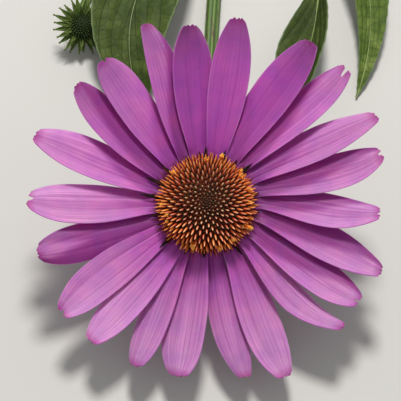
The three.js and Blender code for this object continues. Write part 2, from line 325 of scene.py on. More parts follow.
# Ray florets. Angles run anticlockwise from +X as the bloom is faced, in degrees. lap is 1 where
# the ray lies over the next one clockwise, skew leans its tip anticlockwise, blunt keeps the tip
# full, pale is how far its outer part is paler, partly faded and partly a painted highlight where
# light falls on it, and shade how far out its covered side keeps a painted shadow of the ray above.
# Places and widths across a ray are shares of its half width, and pairs are ends of a random range.
rayShape = {
    "rootRadius": 13,
    "baseRadius": 16.5,
    "rise": 6,
    "lift": 2.1,
    "fold": 0.25,
    "thickness": 0.36,
    "columns": 28,
    "rows": 46,
    "claw": 0.52,
    "tip": 0.3,
    "widest": 0.55,
    "shoulder": 1.4,
    "ribs": 9,
    "ribHeight": 0.02,
    "grooves": (-0.36, 0.34),
    "grooveDrift": (-0.08, 0.08),
    "grooveWidth": 0.08,
    "grooveDepth": 0.2,
    "grooveShare": (0.5, 1.1),
    "curl": (-0.5, 0.7),
    "twist": (-3, 3),
    "sag": (-1.0, 0.8),
    "notchAt": (-0.25, 0.25),
    "notchWidth": 0.28,
    "sideNotchGap": (0.5, 0.6),
    "sideNotch": 0.6,
    "sideNotchWidth": 0.13,
    "floorGap": 0.25,
    "collarSides": 64,
    "collar": [(12.3, -2.5), (14.4, -2.4), (14.4, -0.7), (12.3, -0.6)],
}
rayFields = ("base", "tip", "reach", "bow", "width", "notch", "lap", "skew", "blunt", "pale", "shade")
rays = tabled(rayFields, [
    (112.5, 106.8, 58.8, -1.4, 10, 0.5, -1, 0.45, 2.4, 0.55, 0.8),
    (97.3, 95.4, 55.6, -0.1, 12.7, 0.6, -1, 0, 2.9, 0, 0.1),
    (78.7, 80.6, 58.8, 0, 12.4, 0.8, 1, 0, 2.5, 0.1, 0),
    (63.4, 58, 60, -1.4, 12.7, 0.3, 1, -0.1, 2.6, 0, 0.3),
    (49.4, 44.3, 61.2, -1.9, 10.5, 3.4, 1, 0, 3, 0.55, 0.75),
    (32.8, 28.3, 59.6, -1.5, 10.5, 0.6, 1, -0.15, 1.8, 0.8, 0.4),
    (18.8, 15.7, 56.8, -2.7, 11.2, 1.6, 1, 0.1, 3, 0.8, 1),
    (5.6, -3.2, 53.5, -3.3, 10.8, 1.2, 1, 0.05, 1.9, 0.85, 0.75),
    (-7.7, -18.7, 57.5, -3.7, 11.8, 0.3, 1, -0.4, 2.1, 0.85, 1.1),
    (-27, -32.6, 55.5, -1.9, 11.5, 1.8, 1, 0, 3, 0.85, 1),
    (-42.4, -44.3, 56.1, -3.9, 8.8, 0.3, 1, 0.5, 1.5, 1, 0),
    (-59.7, -65.6, 58, -2.4, 12.2, 0.8, 1, 0, 2.8, 1, 0.2),
    (-80.2, -77.4, 54.3, -1.2, 9.9, 0.9, -1, 0, 2.3, 0.8, 0.15),
    (-99.2, -99.2, 53.2, -0.8, 12.4, 0.5, -1, -0.05, 3.6, 1, 0.15),
    (-117, -113.4, 53.9, 0.7, 9, 0.3, -1, -0.1, 3.4, 0.9, 0.1),
    (-127.1, -130, 54.8, -0.5, 10.8, 0.8, -1, 0, 2.8, 1, 0.15),
    (-146.3, -143.4, 55.4, -0.3, 12.2, 1.6, 1, 0.1, 3, 0.95, 0),
    (-161.6, -163.2, 53.6, -0.2, 11.5, 0.4, -1, 0, 3.4, 0.6, 1),
    (178.9, 179.2, 54.8, 1.1, 12.2, 2.2, -1, 0, 3, 1, 0.2),
    (159.2, 158.7, 56.5, -0.6, 11.8, 0.6, -1, 0, 2.4, 0.85, 0.4),
    (144.3, 139.3, 54, -1.4, 10.8, 0.4, -1, -0.25, 3, 0.4, 1.4),
    (127.1, 126, 54.6, -0.5, 11.8, 1.1, -1, 0, 3.8, 0.5, 0.3),
])


def rayEnding(k):
    # How far a place lies from the ray's widest part towards its tip
    return clamp((k - rayShape["widest"]) / (1 - rayShape["widest"]))


def rayOutline(k, blunt):
    claw, widest, tip = (rayShape[name] for name in ("claw", "widest", "tip"))
    if k < widest:
        return claw + (1 - claw) * sin(pi / 2 * k / widest) ** 1.1
    return 1 - (1 - tip) * rayEnding(k) ** blunt


def petalMaterial(ribs):
    # Fresh ray floret: thin and softly waxy, deep magenta where it is young and where shade is painted,
    # mauve-pink where it has faded and where a highlight is painted, with darker nerves along it,
    # painted shade in its grooves and a pale edge that is a painted highlight
    material, add = newMaterial(
        "freshRayPetal",
        Roughness=0.55,
        Specular_IOR_Level=0.35,
        Subsurface_Weight=0.7,
        Subsurface_Scale=1.2 * mm,
        Subsurface_Radius=(1.6, 0.15, 1.3),
        Sheen_Weight=0.05,
        Sheen_Roughness=0.5,
    )
    names = ("run", "side", "tone", "groove", "pale", "dusk")
    run, side, tone, groove, pale, dusk = (add("Attribute", attribute_name=name) for name in names)
    deep = add("ValToRGB", {"Fac": run}, stops={
        0: "#7c2474", 0.12: "#942e8a", 0.35: "#a44399", 0.7: "#a1479a", 0.93: "#86437e", 0.98: "#772f68",
        1: "#4a1a30",
    })
    fadedAndLit = add("ValToRGB", {"Fac": run}, stops={
        0: "#aa389c", 0.14: "#b850a8", 0.34: "#bf6cac", 0.62: "#c683b6", 0.93: "#c38ab6", 0.98: "#a8588f",
        1: "#5e2038",
    })
    # Painted light: the paler colour stands where light falls on the ray, the deep one where it faces away
    # and where it is covered
    whole = add("Mix", {0: pale, 6: deep, 7: fadedAndLit})
    # Painted shadow of the neighbour above: the covered part is darkened towards a dark magenta
    shadowShare = add("Math", (dusk, 0.7), operation="MULTIPLY")
    base = add("Mix", {0: shadowShare, 6: whole, 7: "#762364"})
    # Nerves, under a millimetre apart across the ray and long along it, in a broad and a fine set
    stretch = add("CombineXYZ", {"X": side, "Y": run, "Z": tone})
    shares, heights = [], []
    for scale, low, most in (((6.0, 1.5, 40.0), 0.45, 0.6), ((17.0, 1.2, 70.0), 0.48, 0.65)):
        scaled = add("VectorMath", (stretch, scale), operation="MULTIPLY")
        nerves = add("TexNoise", {"Vector": scaled, "Scale": 1.0, "Detail": 3.0})
        shares.append(add("MapRange", (nerves, low, 0.78, 0, most)))
        heights.append(nerves)
    # Main nerves lie in the furrows between the ray's low ribs
    spread = add("Math", (side, ribs / 2), operation="MULTIPLY")
    furrow = add("Math", (spread, 0.5), operation="PINGPONG")
    main = add("MapRange", (furrow, 0.34, 0.5, 0, 0.34))
    broken = add("Math", (shares[0], 0.6, main), operation="MULTIPLY_ADD")
    lines = add("Math", (broken, shares[1]), operation="MAXIMUM")
    nerved = add("Mix", {0: lines, 6: base, 7: "#86307f"})
    # Painted shade: the ray's grooves are darkened
    grooved = add("Mix", {0: groove, 6: nerved, 7: "#7c2676"})
    # Painted highlight: a pale line along the ray's edges
    edge = add("Math", (side,), operation="ABSOLUTE")
    edgeShare = add("MapRange", (edge, 0.93, 1, 0, 0.3))
    edgeHighlighted = add("Mix", {0: edgeShare, 6: grooved, 7: "#cf97c7"})
    # Soft clouds of lighter and bluer tissue, some 6 mm wide
    place = add("TexCoord")
    clouds = add("TexNoise", {"Vector": place, "Scale": 160.0, "Detail": 2.0})
    light = add("MapRange", (clouds, 0.3, 0.7, 0.88, 1.12))
    hue = add("MapRange", (clouds, 0.3, 0.7, 0.468, 0.514))
    drift = add("MapRange", (tone, 0, 1, 0.95, 1.05))
    value = add("Math", (light, drift), operation="MULTIPLY")
    tinted = add("HueSaturation", {"Hue": hue, "Value": value, "Color": edgeHighlighted})
    relief = add("Math", (heights[0], heights[1]), operation="ADD")
    bump = add("Bump", {"Height": relief, "Strength": 0.35, "Distance": 0.2 * mm})
    return shaded(material, Base_Color=tinted, Normal=bump)


def makeRay(ray, before, values, draw):
    piece = gridSheet("ray", values["columns"], values["rows"])
    root, base, reach = values["rootRadius"], values["baseRadius"], ray["reach"]
    # A ray with both edges up or both down bends less
    lift = values["lift"] * (1 if ray["lap"] == before["lap"] else 0.5)
    liftCw, liftCcw = ray["lap"] * lift, -before["lap"] * lift
    grooves = [at + draw.uniform(*values["grooveDrift"]) for at in values["grooves"]]
    depths = [values["grooveDepth"] * draw.uniform(*values["grooveShare"]) for _ in grooves]
    curl = draw.uniform(*values["curl"])
    twist = draw.uniform(*values["twist"]) * degree
    sag = draw.uniform(*values["sag"])
    notchAt = draw.uniform(*values["notchAt"])
    sideNotches = [notchAt + way * draw.uniform(*values["sideNotchGap"]) for way in (-1, 1)]
    runs, sides, grooveShades, paleAndHighlightShares, dusks = [], [], [], [], []

    def place(flat):
        c, along = flat.x, (flat.y + 1) / 2
        side = abs(c)
        back = values["shoulder"] * side**4
        back += ray["notch"] * bell(c - notchAt, values["notchWidth"])
        back += sum(values["sideNotch"] * bell(c - at, values["sideNotchWidth"]) for at in sideNotches)
        step = 1 - (1 - along) ** 1.25
        radius = root + step * (reach - back - root)
        k = clamp((radius - base) / (reach - base))
        angle = mix(ray["base"], ray["tip"], k) + ray["bow"] * 4 * k * (1 - k)
        angle *= degree
        offset = c * rayOutline(k, ray["blunt"]) * min(1, radius / base)
        offset += ray["skew"] * rayEnding(k) ** 2
        offset *= ray["width"] / 2
        mark = sum(depth * bell(c - at, values["grooveWidth"]) for at, depth in zip(grooves, depths))
        ridge = values["fold"] * (1 - 2 * side**3) - mark
        ridge += values["ribHeight"] * cos(fullTurn * values["ribs"] / 2 * c)
        lapped = (liftCcw if c > 0 else liftCw) * c * c * smooth((k + 0.06) / 0.14)
        z = values["rise"] * k * k + ridge * (1 - 0.5 * k) + lapped
        z += curl * side * side * k * k + offset * tan(twist) * k + sag * k**3
        spot = headFrame @ Vector((
            cos(angle) * radius - sin(angle) * offset,
            sin(angle) * radius + cos(angle) * offset,
            z,
        ))
        spot.z = max(spot.z, values["floorGap"] + values["thickness"])
        runs.append((radius - root) / (reach - root))
        sides.append(c)
        # Painted shade in the grooves, fainter towards the tip
        grooveShades.append(clamp(mark / values["grooveDepth"] * 0.35 * (1 - 0.4 * k)))
        # Painted shadow: the side that lies under a neighbour is drawn deep and dark, as if in its shadow,
        # less so towards the tip
        bound = mix(-1.1, 1.1, clamp((k - 0.02) / (0.3 + 0.9 * ray["shade"])))
        lows = [way for way, up in ((1, liftCcw), (-1, liftCw)) if up < 0]
        neighbourShadow = max((smooth((way * c - bound) / 0.5 + 0.4) for way in lows), default=0)
        neighbourShadow *= smooth(1.6 * ray["shade"])
        paleAndHighlightShares.append(ray["pale"] * (1 - neighbourShadow))
        dusks.append(neighbourShadow)
        return spot

    reshape(piece, place)
    painted(piece, run=runs, side=sides, groove=grooveShades, tone=draw.random(), pale=paleAndHighlightShares, dusk=dusks)
    applied(piece, "SOLIDIFY", thickness=values["thickness"] * mm, offset=-1, use_even_offset=False)
    return piece


def makeRays(values):
    draw = random.Random(11)
    parts = [makeRay(ray, rays[i - 1], values, draw) for i, ray in enumerate(rays)]
    collar = turned("collar", values["collarSides"], values["collar"])
    collar.data.transform(headFrameMetres)
    painted(collar, run=0.02, side=0.0, groove=0.0, tone=0.5, pale=0.0, dusk=0.0)
    piece = dressed(joined("rayFlorets", [*parts, collar]), petalMaterial(values["ribs"]))
    settled(piece, "petal", "ray_florets")


makeRays(rayShape)
print("ray florets made")

# The cone: a dark dome set with stiff spines on a spiral, each with a small disc floret inside it.
# Pairs of lengths and half widths go from the cone's middle to its rim. Profiles are (radius,
# height), those of spine, floret and chaff as shares of a copy's size.
disc = {
    "radius": 13.25,
    "height": 9.7,
    "lift": 1.2,
    "rings": 17.5,  # the last ring stays half a step short of the top
    "sides": 64,
    "foot": [(11.4, -2.9), (11.8, 0.4)],
    "edgeAngle": 88 * degree,
    "spines": 396,
    "crowding": 0.78,
    "length": (0.9, 3.4),
    "halfWidth": (0.27, 0.34),
    "splay": 1.9,
    "lean": 0.4,
    "sunk": 0.2,
    "shift": Vector((-0.15, -0.1, 0)),
    "spine": [(0.6, 0), (0.95, 0.22), (1, 0.45), (0.78, 0.72), (0.42, 0.92), (0.12, 1)],
    "floret": [(0.6, 0), (0.95, 0.5), (1, 0.8), (0.45, 1)],
    "floretLength": 0.35,
    "chaff": [(1, 0), (0.85, 0.4), (0.5, 0.75), (0.08, 1)],
}
# Dark bristles that lie over the rays' claws
fringe = {
    "count": 130,
    "radius": 13.1,
    "height": (0.8, 1.9),
    "halfSize": (0.13, 0.17),
    "length": (2.4, 4.6),
    "drift": (-0.4, 0.4),
    "scatter": ((-0.3, 0.3), (-0.3, 0.3), (0.05, 0.5)),
}
# Bract tips that lie out over the gaps between the rays, drawn near black as painted shade: angle in
# degrees, and tip radius
shadedBractTips = {
    "radius": 12.7,
    "height": 1.5,
    "halfSize": (0.35, 0.8),
    "pitch": (-0.02, 0.06),
    "places": [
        (90, 18.4), (70, 18), (55, 17.1), (42, 19.4), (97, 16.7), (113, 16.4), (138, 17.9), (155, 20.2),
        (171, 20.4), (-137, 19.5), (-54, 19.1), (-8, 17), (13, 17.2), (-168, 17.6), (-92, 16.4),
        (-113, 16.6),
    ],
}


def spineMaterial():
    # Stiff bract of the cone: waxy, nearly black at its foot, orange-red on its flanks and tan-pink
    # along its crest, its upper side, as a painted highlight, duller towards the cone's middle
    material, add = newMaterial("coneSpine", Roughness=0.5, Specular_IOR_Level=0.3)
    names = ("rise", "rank", "tone", "crest")
    rise, rank, tone, crest = (add("Attribute", attribute_name=name) for name in names)
    foot = add("ValToRGB", {"Fac": rank}, stops={0: "#1c0e06", 0.4: "#561a0b", 1: "#74220e"})
    flank = add("ValToRGB", {"Fac": rank}, stops={
        0: "#120a05", 0.2: "#581c0a", 0.45: "#d0480e", 0.75: "#dc500a", 1: "#a23a0a",
    })
    top = add("ValToRGB", {"Fac": rank}, stops={
        0: "#30241a", 0.09: "#7c5e46", 0.22: "#f0b890", 0.4: "#ffc69e", 0.75: "#ffac66", 1: "#d87632",
    })
    footShare = add("MapRange", (rise, 0.1, 0.35))
    # Painted highlight along each spine's upper side, stronger towards its tip
    crestHighlightShare = add("MapRange", (crest, 0.55, 0.95))
    outer = add("MapRange", (rise, 0.38, 0.8, 0.12, 1))
    crestHighlight = add("Math", (crestHighlightShare, outer), operation="MULTIPLY")
    # The tan begins part of the way up, and near the cone's middle it runs all round the tip
    middle = add("MapRange", (rank, 0.2, 0.45, 1, 0))
    tip = add("MapRange", (rise, 0.55, 0.8))
    tipShare = add("Math", (middle, tip), operation="MULTIPLY")
    pale = add("Math", (crestHighlight, tipShare), operation="MAXIMUM")
    upper = add("Mix", {0: pale, 6: flank, 7: top})
    whole = add("Mix", {0: footShare, 6: foot, 7: upper})
    drift = add("MapRange", (tone, 0, 1, 0.8, 1.2))
    hue = add("MapRange", (tone, 0, 1, 0.49, 0.514))
    return shaded(material, Base_Color=add("HueSaturation", {"Hue": hue, "Value": drift, "Color": whole}))


def huskMaterial(name, stops):
    # Dry plant husk: dark and dull, mottled from brown to olive, some 4 mm a patch
    material, add = newMaterial(name, Roughness=0.85, Specular_IOR_Level=0.15)
    place = add("TexCoord")
    patches = add("TexNoise", {"Vector": place, "Scale": 260.0, "Detail": 3.0})
    return shaded(material, Base_Color=add("ValToRGB", {"Fac": patches}, stops=stops))


def floretMaterial():
    # Unopened disc floret: small, soft and dull, olive to red brown
    material, add = newMaterial("discFloret", Roughness=0.7, Specular_IOR_Level=0.3)
    tone, rise = (add("Attribute", attribute_name=name) for name in ("tone", "rise"))
    stops = {0: "#1e1606", 0.35: "#2e2c0e", 0.55: "#501a08", 1: "#6e260c"}
    colour = add("ValToRGB", {"Fac": tone}, stops=stops)
    # Painted shade: darker towards the floret's foot, down among the spines
    shade = add("MapRange", (rise, 0, 1, 0.4, 1))
    return shaded(material, Base_Color=add("HueSaturation", {"Value": shade, "Color": colour}))


def pollenMaterial():
    # Pollen and open corolla lobes: dry, golden orange, with grains drawn coarse enough to show
    material, add = newMaterial("pollenGold", Roughness=0.75, Specular_IOR_Level=0.3)
    rise = add("Attribute", attribute_name="rise")
    place = add("TexCoord")
    grains = add("TexNoise", {"Vector": place, "Scale": 2600.0, "Detail": 1.0})
    # Partly the floret's own colour, partly painted: shade at its foot and a highlight at its top
    stops = {0: "#8a320a", 0.4: "#e06c18", 0.75: "#ff9c30", 1: "#ffc658"}
    colour = add("ValToRGB", {"Fac": rise}, stops=stops)
    shade = add("MapRange", (grains, 0, 1, 0.75, 1.25))
    return shaded(material, Base_Color=add("HueSaturation", {"Value": shade, "Color": colour}))


def domeProfile(values, share=1):
    # From the dome's edge to the last small ring, just short of its top
    polars = [pi / 2 * (1 - ring / values["rings"]) for ring in range(ceil(values["rings"]))]
    radius, height = values["radius"] * share, values["height"] * share
    return [(radius * sin(polar), height * cos(polar) + values["lift"]) for polar in polars]


def domeSpot(polar, turn, values):
    radius, height = values["radius"], values["height"]
    r, z = radius * sin(polar), height * cos(polar)
    spot = Vector((r * cos(turn), r * sin(turn), z))
    normal = Vector((spot.x / radius**2, spot.y / radius**2, z / height**2))
    return spot + Vector((0, 0, values["lift"])), normal.normalized()


def spiralSpots(values):
    # From the top down: rank is 0 at the top and 1 at the edge
    for n in range(values["spines"]):
        rank = ((n + 0.5) / values["spines"]) ** values["crowding"]
        yield rank, rank * values["edgeAngle"], n * goldenAngle


def makeCone(values):
    draw = random.Random(23)
    body = huskMaterial("coneBody", {0.35: "#34140a", 0.55: "#541f0c", 0.7: "#3c2a10"})
    core = turned("coneCore", values["sides"], values["foot"] + domeProfile(values))
    spine = risen(turned("spine", 8, values["spine"]), 1)
    painted(spine, crest=[v.co.x / max(v.co.xy.length, 1e-9) for v in spine.data.vertices])
    floret = risen(turned("floret", 5, values["floret"]), 1)
    dressed(spine, spineMaterial())
    dressed(floret, floretMaterial())
    chaff = turned("chaff", 6, values["chaff"])
    # Near black: painted shade on the bract tips that show in the gaps between the rays
    dressed(chaff, huskMaterial("shadedBractTip", {0.35: "#120a08", 0.55: "#221209", 0.7: "#1c2010"}))
    parts = [dressed(core, body)]
    for rank, polar, turn in spiralSpots(values):
        spot, normal = domeSpot(polar, turn, values)
        length = mix(*values["length"], smooth(rank * 1.6)) * draw.uniform(0.9 - 0.15 * rank, 1.1)
        half = mix(*values["halfWidth"], clamp(rank * 2)) * draw.uniform(0.9, 1.1)
        direction = normal + outward(turn) * values["splay"] * rank * (1 - rank)
        direction += upward * values["lean"] * rank * rank
        direction += scattered(draw, (-1, 1), (-1, 1), (-1, 1)) * (0.05 + 0.15 * rank**3)
        seat = pointed(spot - normal * values["sunk"], direction, (half * 0.9, half, length))
        parts.append(copied(spine, seat, rank=rank, tone=draw.random()))
        # The floret stands on the spine's inner side
        spot, normal = domeSpot(max(0, polar - 0.05 - 0.04 * rank), turn, values)
        seat = pointed(spot, normal, (half, half, length * values["floretLength"]))
        parts.append(copied(floret, seat, rank=rank, tone=draw.random()))
    for k in range(fringe["count"]):
        out = outward((k + draw.uniform(*fringe["drift"])) / fringe["count"] * fullTurn)
        direction = out + scattered(draw, *fringe["scatter"])
        size = (*fringe["halfSize"], draw.uniform(*fringe["length"]))
        foot = out * fringe["radius"] + upward * draw.uniform(*fringe["height"])
        parts.append(copied(spine, pointed(foot, direction, size), rank=1.0, tone=0.2, rise=0.1))
    for angle, reach in shadedBractTips["places"]:
        out = outward(angle * degree)
        size = (*shadedBractTips["halfSize"], reach - shadedBractTips["radius"])
        foot = out * shadedBractTips["radius"] + upward * shadedBractTips["height"]
        direction = out + upward * draw.uniform(*shadedBractTips["pitch"])
        parts.append(copied(chaff, pointed(foot, direction, size)))
    discard(spine, floret, chaff)
    piece = joined("spinyCone", parts)
    piece.data.transform(headFrameMetres @ Matrix.Translation(values["shift"] * mm))
    settled(piece, "cone", "cone")


# Open florets with pollen on the rim: places are angle in degrees and reach in millimetres,
# lobeRoot is a lobe's radius and height, and lobeSize its way out, half width and rise.
pollen = {
    "places": [
        (90, 14), (76, 15.4), (38, 13.6), (41, 15.2), (180, 14.4), (196, 13.6), (2, 13.7), (15, 13.8),
        (-31, 13.5), (-28, 15.6), (-54, 14), (-75, 14.4), (-106, 14.4), (-151, 14.4), (137, 14.2),
    ],
    "tube": [(0.3, 0), (0.34, 1.6), (0.55, 2.6), (0.62, 3.0)],
    "anthers": [(0.22, 0.5), (0.26, 3.2), (0.22, 3.7), (0.08, 3.9)],
    "lobes": 5,
    "lobeRoot": (0.45, 2.9),
    "lobeSize": (0.35, 0.26, 0.65),
    "lobeThickness": 0.12,
    "height": 4,
    "inward": 2.7,
    "footHeight": 4.3,
    "spread": ((-0.5, 0.5), (-0.5, 0.5)),
    "scatter": ((-0.4, 0.4), (-0.4, 0.4), (0.4, 0.9)),
    "grow": (0.65, 1.0),
    "grains": 14,
    "grainRadius": 0.17,
    "looseGrains": 80,
    "looseRadius": (0.14, 0.26),
    "looseReach": (11.8, 14.8),
    "looseHeight": (2.6, 5.4),
}


def makePollen(values):
    draw = random.Random(31)
    gold = pollenMaterial()
    height = values["height"]

    def lobePlace(flat):
        along = (flat.y + 1) / 2
        (root, foot), (out, half, rise) = values["lobeRoot"], values["lobeSize"]
        lifted = foot + rise * along - 0.35 * along**2
        return Vector((root + out * sin(along * 1.8), flat.x * half * (1 - 0.8 * along**2), lifted))

    tube = risen(turned("tube", 10, values["tube"]), height)
    anthers = risen(turned("anthers", 6, values["anthers"]), height)
    lobe = gridSheet("lobe", 2, 4)
    reshape(lobe, lobePlace)
    risen(lobe, height)
    applied(lobe, "SOLIDIFY", thickness=values["lobeThickness"] * mm, offset=0)
    clearSelection()
    bpy.ops.mesh.primitive_ico_sphere_add(subdivisions=1, radius=mm)
    grain = painted(named("grain"), rise=1.0)
    floret = [tube, anthers]
    for k in range(values["lobes"]):
        floret.append(copied(lobe, Matrix.Rotation(k / values["lobes"] * fullTurn, 4, "Z")))
    for _ in range(values["grains"]):
        spot = scattered(draw, *values["spread"], (height - 1, height))
        floret.append(copied(grain, pointed(spot, upward, [values["grainRadius"]] * 3)))
    discard(lobe)
    opened = dressed(joined("openFloret", floret), gold)
    dressed(grain, gold)
    parts = []
    for angle, reach in values["places"]:
        out = outward(angle * degree)
        for _ in range(draw.choice((1, 2))):
            foot = out * (reach - values["inward"]) + scattered(draw, *values["spread"]).to_3d()
            foot.z = values["footHeight"]
            direction = out + scattered(draw, *values["scatter"])
            parts.append(copied(opened, pointed(foot, direction, [draw.uniform(*values["grow"])] * 3)))
    nearest = values["looseReach"][0]
    for k in range(values["looseGrains"]):
        # Two grains in three lie on the upper right of the rim
        out = outward((draw.gauss(35, 45) if k % 3 else draw.uniform(0, 360)) * degree)
        spot = out * draw.uniform(*values["looseReach"])
        spot.z = draw.uniform(*values["looseHeight"]) - (spot.length - nearest) * 0.6
        parts.append(copied(grain, pointed(spot, out, [draw.uniform(*values["looseRadius"])] * 3)))
    discard(opened, grain)
    piece = joined("pollenFlorets", parts)
    piece.data.transform(headFrameMetres)
    settled(piece, "cone")


makeCone(disc)
makePollen(pollen)
print("cone made")


# Green parts share one way of colouring and one kind of hair.
def greenMaterial(name, dark, light, fleck, roughness, grain):
    # Soft green plant skin, dull, mottled at the given grain in millimetres
    material, add = newMaterial(name, Roughness=roughness, Specular_IOR_Level=0.2)
    place = add("TexCoord")
    patches = add("TexNoise", {"Vector": place, "Scale": 1 / (grain * mm), "Detail": 4.0})
    rise = add("Attribute", attribute_name="rise")
    colour = add("ValToRGB", {"Fac": patches}, stops={0.3: dark, 0.65: light})
    flecked = add("Mix", {0: rise, 6: colour, 7: fleck})
    bump = add("Bump", {"Height": patches, "Strength": 0.3, "Distance": 0.2 * mm})
    return shaded(material, Base_Color=flecked, Normal=bump)


def newHair():
    # Stiff plant hair: pale olive and dull
    material = newMaterial("plantHair", Base_Color="#7c8a54", Roughness=0.6)[0]
    hair = painted(turned("hair", 4, [(1, 0), (0.6, 0.5), (0.08, 1)]), rise=0.6)
    return dressed(hair, material)


def bristles(spots, hair, hairSize, draw):
    # One hair at each spot, spots being (place, direction) in millimetres
    half, length = hairSize
    made = []
    for place, direction in spots:
        size = (half, half, length * draw.uniform(0.6, 1.2))
        made.append(copied(hair, pointed(place, direction, size)))
    return made


# The involucre: a shallow cup with three rows of pointed bracts. hairSize is half width and length.
bractFields = ("count", "radius", "height", "length", "width", "pitch", "turn")
cup = {
    "profile": [
        (2.9, -9.4), (4.9, -7.8), (8.2, -6.6), (10.8, -6.0),
        (12.8, -4.9), (13.9, -4.0), (13.9, -3.3), (12.2, -3.0),
    ],
    "sides": 52,
    "rows": tabled(bractFields, [
        (17, 12.4, -4.2, 9.5, 3.4, -4, 0),
        (17, 11.6, -5.1, 8.8, 3.4, -12, 0.5),
        (9, 9.4, -6.3, 8.5, 2.8, -32, 0.25),
    ]),
    "thickness": 0.5,
    "hairs": 7,
    "hairSize": (0.035, 0.8),
    "skin": {"dark": "#2b3d18", "light": "#445c28", "fleck": "#627a3a", "roughness": 0.75, "grain": 1.2},
}


def makeBract(row, k, thickness, draw):
    piece = gridSheet("bract", 6, 12)
    length = row["length"] * (1 + 0.1 * cos(2.4 * k)) * draw.uniform(0.95, 1.05)
    curl = draw.uniform(-0.5, 0.3)

    def place(flat):
        along, side = (flat.y + 1) / 2, abs(flat.x)
        half = 0.8 + 0.5 * along if along < 0.3 else 0.95 * (1 - ((along - 0.3) / 0.7) ** 1.6) + 0.04
        z = length * 0.06 * 4 * along * (1 - along) + 0.1 * row["width"] * side
        z += curl * along**3 - 0.12 * bell(flat.x, 0.25)
        return Vector((length * along, flat.x * row["width"] / 2 * min(1, half), z))

    reshape(piece, place)
    painted(piece, rise=[0.3 * clamp(v.co.x / (length * mm)) ** 2 for v in piece.data.vertices])
    applied(piece, "SOLIDIFY", thickness=thickness * mm, offset=-1)
    turn = Matrix.Rotation((k + row["turn"]) / row["count"] * fullTurn, 4, "Z")
    pitch = Matrix.Rotation(-row["pitch"] * degree, 4, "Y")
    seat = turn @ Matrix.Translation(Vector((row["radius"], 0, row["height"])) * mm) @ pitch
    piece.data.transform(seat)
    return piece, seat, length


def makeBracts(values, green, hair, draw):
    # Rows of bracts with hairs along their edges
    made = []
    for row in values["rows"]:
        for k in range(row["count"]):
            piece, seat, length = makeBract(row, k, values["thickness"], draw)
            made.append(dressed(piece, green))
            spots = []
            for _ in range(values["hairs"]):
                along, edge = draw.uniform(0.1, 0.95), draw.choice((-1, 1))
                half = row["width"] / 2 * (1 - max(0, (along - 0.3) / 0.7) ** 1.6) * 0.95
                spot = Vector((length * along, edge * half, 0.2 * row["width"] / 2 + length * 0.06))
                direction = Vector((0.6, edge, draw.uniform(-0.2, 0.5)))
                spots.append(((seat @ (spot * mm)) / mm, seat.to_3x3() @ direction))
            made.extend(bristles(spots, hair, values["hairSize"], draw))
    return made


def makeInvolucre(values):
    draw = random.Random(41)
    green = greenMaterial("bractSkin", **values["skin"])
    hair = newHair()
    bowl = dressed(painted(turned("bowl", values["sides"], values["profile"]), rise=0.0), green)
    piece = joined("bractedCup", [bowl, *makeBracts(values, green, hair, draw)])
    discard(hair)
    piece.data.transform(headFrameMetres)
    settled(piece, "bract", "involucre")


makeInvolucre(cup)
print("involucre made")

# The stem: the neck bends down from the head, and the rest lies along the surface.
stem = {
    "run": [Vector((-8.5, -52, 2.55)), Vector((-4, 8, 2.7)), Vector((3, 92, 2.95)), Vector((12, 160, 3.15))],
    "neckTop": -9.7,
    "neckPull": 14,
    "neckArrival": Vector((-2, -26, 0)),
    "neckRadius": 2.35,
    "cutRadius": 3.1,
    "runShare": 0.75,
    "ribs": 9,
    "ribHeight": 0.13,
    "sides": 54,
    "steps": 100,
    "hairs": 900,
    "hairSize": (0.04, 1.0),
    "cutWall": 0.45,
    "cutEdge": 0.15,
    "cutDepth": 0.12,
}
# The side branch starts inside the stem and widens a little where it leaves it.
branch = {
    "path": [
        bezierPoint(stem["run"], 0.57) + Vector((0, 0, 0.8)),
        Vector((-30, 56, 13)),
        Vector((-60.5, -9.5, -5.5)),
        Vector((-54.8, -20.5, 7)),
    ],
    "rootRadius": 1.9,
    "tipRadius": 1.35,
    "flare": 0.7,
    "ribs": 6,
    "ribHeight": 0.09,
    "sides": 30,
    "steps": 90,
    "hairs": 300,
    "hairSize": (0.035, 0.8),
}
stemFloorGap = 0.05
lowestHair = 1.4  # a hair that starts lower would go through the floor


def stemRadiusAt(along):
    return mix(stem["neckRadius"], stem["cutRadius"], along)


def branchRadiusAt(along):
    radius = mix(branch["rootRadius"], branch["tipRadius"], along) + branch["flare"] * bell(along, 0.03)
    return radius * smooth(0.4 + along / 0.04)


def framesAlong(points):
    # Each point with its direction and two sides that turn as little as they can
    frames, side = [], Vector((1, 0, 0))
    for i, point in enumerate(points):
        ahead = (points[min(i + 1, len(points) - 1)] - points[max(i - 1, 0)]).normalized()
        side = (side - ahead * side.dot(ahead)).normalized()
        frames.append((point, ahead, side, ahead.cross(side)))
    return frames


def rod(name, frames, radiusAt, values):
    # A long cylinder cut into steps and laid along the frames
    steps = len(frames) - 1
    clearSelection()
    bpy.ops.mesh.primitive_cylinder_add(vertices=values["sides"], radius=1, depth=2, end_fill_type="NGON")
    piece = named(name)
    mesh = piece.data
    unpicked("EDGE")
    for edge in mesh.edges:
        low, high = (mesh.vertices[v].co for v in edge.vertices)
        edge.select = abs(low.z - high.z) > 1
    enter("EDIT")
    bpy.ops.mesh.subdivide(number_cuts=steps - 1)
    enter("OBJECT")
    crests = []

    def place(flat):
        along = (flat.z + 1) / 2
        point, _, side, other = frames[round(along * steps)]
        angle = atan2(flat.y, flat.x)
        crest = cos(values["ribs"] * angle)
        radius = radiusAt(along) + values["ribHeight"] * crest
        crests.append(crest)
        spot = point + side * cos(angle) * radius + other * sin(angle) * radius
        spot.z = max(spot.z, stemFloorGap)
        return spot

    reshape(piece, place)
    return painted(piece, crest=crests)


